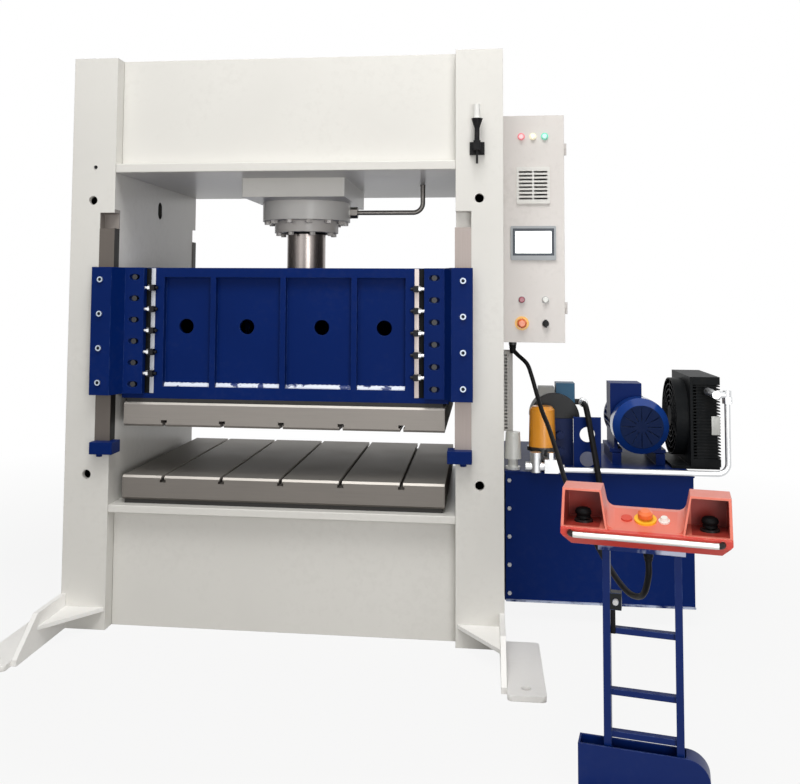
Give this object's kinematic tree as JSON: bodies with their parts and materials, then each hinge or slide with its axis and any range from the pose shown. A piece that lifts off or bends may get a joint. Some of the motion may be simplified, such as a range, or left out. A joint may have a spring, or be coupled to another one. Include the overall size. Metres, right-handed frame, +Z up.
{
  "type": "heated hydraulic press",
  "caption": "Two column heated hydraulic press with guided slide, T slotted platens, power unit, control cabinet and two hand console.",
  "frame": {"origin": "on the floor under the ram's axis", "axes": "+X to the right seen from the operator, +Y to the back, +Z up along the ram"},
  "size_m": [2.9173, 2.8034, 2.39],
  "materials": {
    "frame_paint": "semi-gloss",
    "blue_paint": "semi-gloss",
    "deep_blue_paint": "semi-gloss",
    "machined_steel": "machined",
    "dark_steel": "blackened",
    "cast_housing": "cast",
    "hard_chrome": "polished",
    "bright_steel": "plated",
    "bearing_bronze": "machined",
    "insulation_board": "matt",
    "filter_shell": "gloss",
    "black_metal": "semi-gloss",
    "hose_rubber": "matt",
    "cabinet_paint": "fine texture",
    "device_plastic": "matt",
    "duct_plastic": "matt",
    "black_plastic": "matt",
    "screen_glass": "glossy",
    "lamp_lens": "clear",
    "red_plastic": "glossy",
    "white_plastic": "glossy",
    "console_paint": "semi-gloss",
    "bumper_metal": "anodised"
  },
  "bodies": {
    "frame": {"left_column": "frame_paint", "right_column": "frame_paint", "crown": "frame_paint", "bed": "frame_paint", "anchor_feet": "frame_paint", "guide_rails": "machined_steel", "guide_stops": "blue_paint", "cylinder_barrel": "frame_paint", "rod_gland": "machined_steel", "cylinder_bolts": "dark_steel", "cylinder_pipe": "machined_steel", "lower_insulation": "insulation_board", "lower_platen": "machined_steel", "lower_heaters": "dark_steel", "oil_tank": "blue_paint", "tank_lid": "blue_paint", "motor_frame": "blue_paint", "motor_cowl": "blue_paint", "pump": "cast_housing", "return_filter": "filter_shell", "filler_breather": "white_plastic", "valve_block": "deep_blue_paint", "solenoid_valve": "black_metal", "cooler_core": "black_metal", "cooler_shroud": "black_metal", "return_pipe": "bright_steel", "return_hose": "hose_rubber", "control_cabinet": "cabinet_paint", "cabinet_gear": "device_plastic", "cable_duct": "duct_plastic", "signal_lamp": "black_plastic", "console_housing": "console_paint", "console_bumper": "bumper_metal", "console_bezels": "bright_steel", "console_stand": "blue_paint", "console_cable": "hose_rubber"},
    "door": {"cabinet_door": "cabinet_paint", "vent_grille": "duct_plastic", "hmi_bezel": "black_plastic", "hmi_screen": "screen_glass", "indicator_lamps": "lamp_lens", "button_bezels": "bright_steel"},
    "slide": {"slide_frame": "blue_paint", "gib_brackets": "blue_paint", "gib_liners": "bearing_bronze", "gib_screws": "bright_steel", "gib_adjusters": "dark_steel", "upper_insulation": "insulation_board", "upper_platen": "machined_steel", "upper_heaters": "dark_steel", "press_ram": "hard_chrome"},
    "rotor": {"motor_rotor": "dark_steel"},
    "fan": {"cooler_fan": "dark_steel"},
    "red_push_button": {"red_button": "red_plastic"},
    "white_push_button": {"white_button": "white_plastic"},
    "cabinet_stop": {"estop_button": "red_plastic"},
    "selector": {"selector_knob": "black_plastic"},
    "left_palm": {"left_palm_button": "black_plastic"},
    "right_palm": {"right_palm_button": "black_plastic"},
    "deck_stop": {"console_estop": "red_plastic"}
  },
  "joints": [
    {"name": "slide_press", "type": "slide", "parent": "frame", "child": "slide", "axis": [0, 0, 1], "range_m": [-0.185, 0.155]},
    {"name": "door_hinge", "type": "hinge", "parent": "frame", "child": "door", "pos_m": [1.183, -0.25, 1.675], "axis": [0, 0, 1], "range_deg": [0, 110]},
    {"name": "red_push", "type": "slide", "parent": "door", "child": "red_push_button", "axis": [0, 1, 0], "range_m": [0, 0.004], "stiffness_N_per_m": 600},
    {"name": "white_push", "type": "slide", "parent": "door", "child": "white_push_button", "axis": [0, 1, 0], "range_m": [0, 0.004], "stiffness_N_per_m": 600},
    {"name": "estop_push", "type": "slide", "parent": "door", "child": "cabinet_stop", "axis": [0, 1, 0], "range_m": [0, 0.006]},
    {"name": "selector_turn", "type": "hinge", "parent": "door", "child": "selector", "pos_m": [1.0945, -0.2705, 1.26634], "axis": [0, 1, 0], "range_deg": [-45, 45]},
    {"name": "left_palm_push", "type": "slide", "parent": "frame", "child": "left_palm", "axis": [0, 0, -1], "range_m": [0, 0.004], "stiffness_N_per_m": 600},
    {"name": "right_palm_push", "type": "slide", "parent": "frame", "child": "right_palm", "axis": [0, 0, -1], "range_m": [0, 0.004], "stiffness_N_per_m": 600},
    {"name": "console_stop_push", "type": "slide", "parent": "frame", "child": "deck_stop", "axis": [0.0606, 0.303, -0.9511], "range_m": [0, 0.006]},
    {"name": "motor_spin", "type": "hinge", "parent": "frame", "child": "rotor", "pos_m": [1.525, -0.06, 0.808], "axis": [0, 1, 0], "continuous": true},
    {"name": "cooler_fan_spin", "type": "hinge", "parent": "frame", "child": "fan", "pos_m": [1.745, 0.14, 0.837], "axis": [1, 0, 0], "continuous": true}
  ]
}
